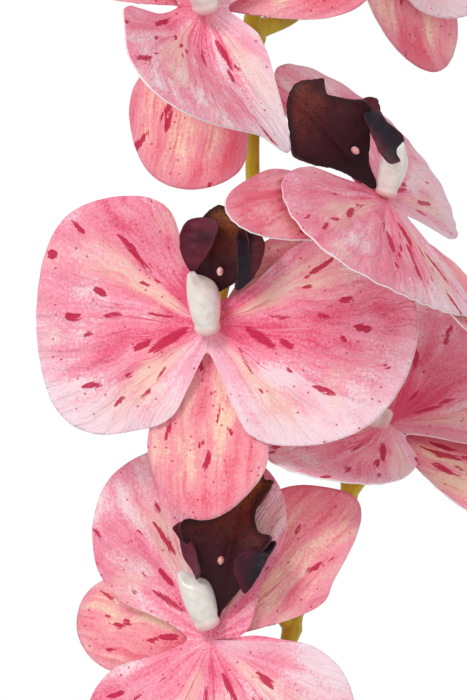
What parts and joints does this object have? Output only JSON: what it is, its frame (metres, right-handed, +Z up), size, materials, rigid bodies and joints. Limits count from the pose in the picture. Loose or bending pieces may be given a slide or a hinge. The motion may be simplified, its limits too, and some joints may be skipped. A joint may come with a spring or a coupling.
{
  "type": "potted orchid",
  "caption": "Potted moth orchid with strap leaves and an arching spike of pink, dark-lipped blooms in a plain round cover pot.",
  "frame": {"origin": "centre of the pot's flat closed underside", "axes": "+Z up, the spike hangs over towards +X, the blooms face -Y"},
  "size_m": [0.4746, 0.1467, 0.6277],
  "materials": {
    "pot": "satin",
    "bark": "matte",
    "crown": "satin",
    "leaf": "satin",
    "root": "matte",
    "stem": "satin",
    "bud": "matte",
    "petal": "matte",
    "sepal": "matte",
    "lip": "matte",
    "column": "gloss"
  },
  "bodies": {
    "root": {"pot": "pot", "bark": "bark", "crown": "crown", "leaf_1": "leaf", "leaf_2": "leaf", "leaf_3": "leaf", "leaf_4": "leaf", "leaf_5": "leaf", "root_1": "root", "root_2": "root", "root_3": "root", "spike": "stem", "bud_1": "bud", "bud_2": "bud", "bud_3": "bud", "bud_4": "bud", "petals_g": "petal", "sepals_g": "sepal", "lip_g": "lip", "column_g": "column", "pedicel_g": "stem", "petals_e": "petal", "sepals_e": "sepal", "lip_e": "lip", "column_e": "column", "pedicel_e": "stem", "petals_a": "petal", "sepals_a": "sepal", "lip_a": "lip", "column_a": "column", "pedicel_a": "stem", "petals_c": "petal", "sepals_c": "sepal", "lip_c": "lip", "column_c": "column", "pedicel_c": "stem", "petals_m": "petal", "sepals_m": "sepal", "lip_m": "lip", "column_m": "column", "pedicel_m": "stem", "petals_d": "petal", "sepals_d": "sepal", "lip_d": "lip", "column_d": "column", "pedicel_d": "stem", "petals_b": "petal", "sepals_b": "sepal", "lip_b": "lip", "column_b": "column", "pedicel_b": "stem", "petals_f": "petal", "sepals_f": "sepal", "lip_f": "lip", "column_f": "column", "pedicel_f": "stem"}
  },
  "joints": []
}
